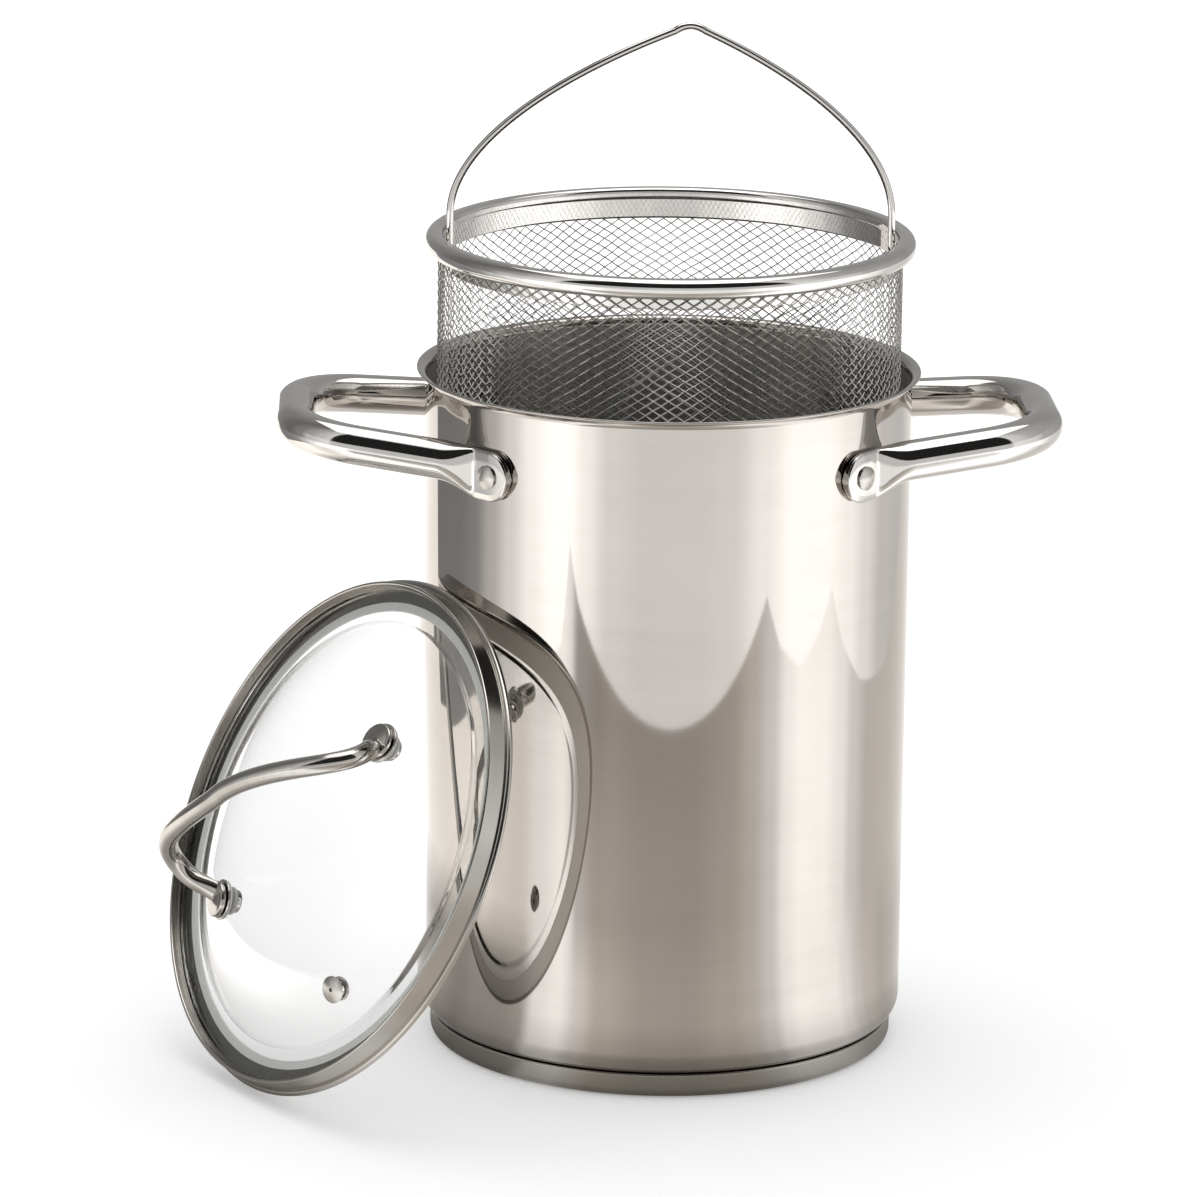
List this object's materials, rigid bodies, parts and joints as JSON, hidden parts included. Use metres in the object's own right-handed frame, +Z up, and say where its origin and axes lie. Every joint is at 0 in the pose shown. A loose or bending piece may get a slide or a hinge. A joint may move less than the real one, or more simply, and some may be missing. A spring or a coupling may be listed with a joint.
{
  "type": "asparagus pot",
  "caption": "Tall stainless steel asparagus pot with a mesh basket raised on its wire bail, riveted bow handles and a domed glass lid leaning on its side.",
  "frame": {"origin": "on the pot's axis, in the plane that the base stands on", "axes": "+Z up along the pot's axis, X through the two bow handles, -Y towards the front"},
  "size_m": [0.2986, 0.21, 0.3444],
  "materials": {
    "satin_steel": "satin polished stainless steel",
    "brushed_steel": "finely brushed stainless steel",
    "bright_steel": "polished stainless steel",
    "aluminium": "plain",
    "wire_steel": "bright drawn wire, woven",
    "glass": "clear tempered glass",
    "silicone": "translucent silicone"
  },
  "bodies": {
    "pot": {"pot_body": "satin_steel", "base_cap": "brushed_steel", "base_core": "aluminium", "handle_left": "bright_steel", "handle_right": "bright_steel", "rivet_left_front": "bright_steel", "rivet_left_back": "bright_steel", "rivet_right_front": "bright_steel", "rivet_right_back": "bright_steel"},
    "basket": {"basket_rim": "bright_steel", "basket_wall": "wire_steel", "basket_floor": "wire_steel", "basket_foot_ring": "bright_steel", "bail_eyelet_left": "bright_steel", "bail_eyelet_right": "bright_steel"},
    "bail": {"basket_bail": "bright_steel"},
    "lid": {"lid_band": "brushed_steel", "lid_glass": "glass", "lid_handle": "bright_steel", "lid_screw_a": "bright_steel", "lid_screw_b": "bright_steel", "lid_washer_a": "bright_steel", "lid_washer_b": "bright_steel", "lid_top_gasket_a": "silicone", "lid_top_gasket_b": "silicone", "lid_under_gasket_a": "silicone", "lid_under_gasket_b": "silicone", "vent_grommet": "bright_steel"}
  },
  "joints": [
    {"name": "basket_lift", "type": "slide", "parent": "pot", "child": "basket", "axis": [0, 0, 1], "range_m": [-0.0387, 0.19]},
    {"name": "bail_swing", "type": "hinge", "parent": "basket", "child": "bail", "pos_m": [0, 0, 0.2678], "axis": [1, 0, 0], "range_deg": [-65, 65]},
    {"name": "lid_lift", "type": "slide", "parent": "pot", "child": "lid", "axis": [-0.79, -0.4585, 0.4071], "range_m": [0, 0.25]}
  ]
}
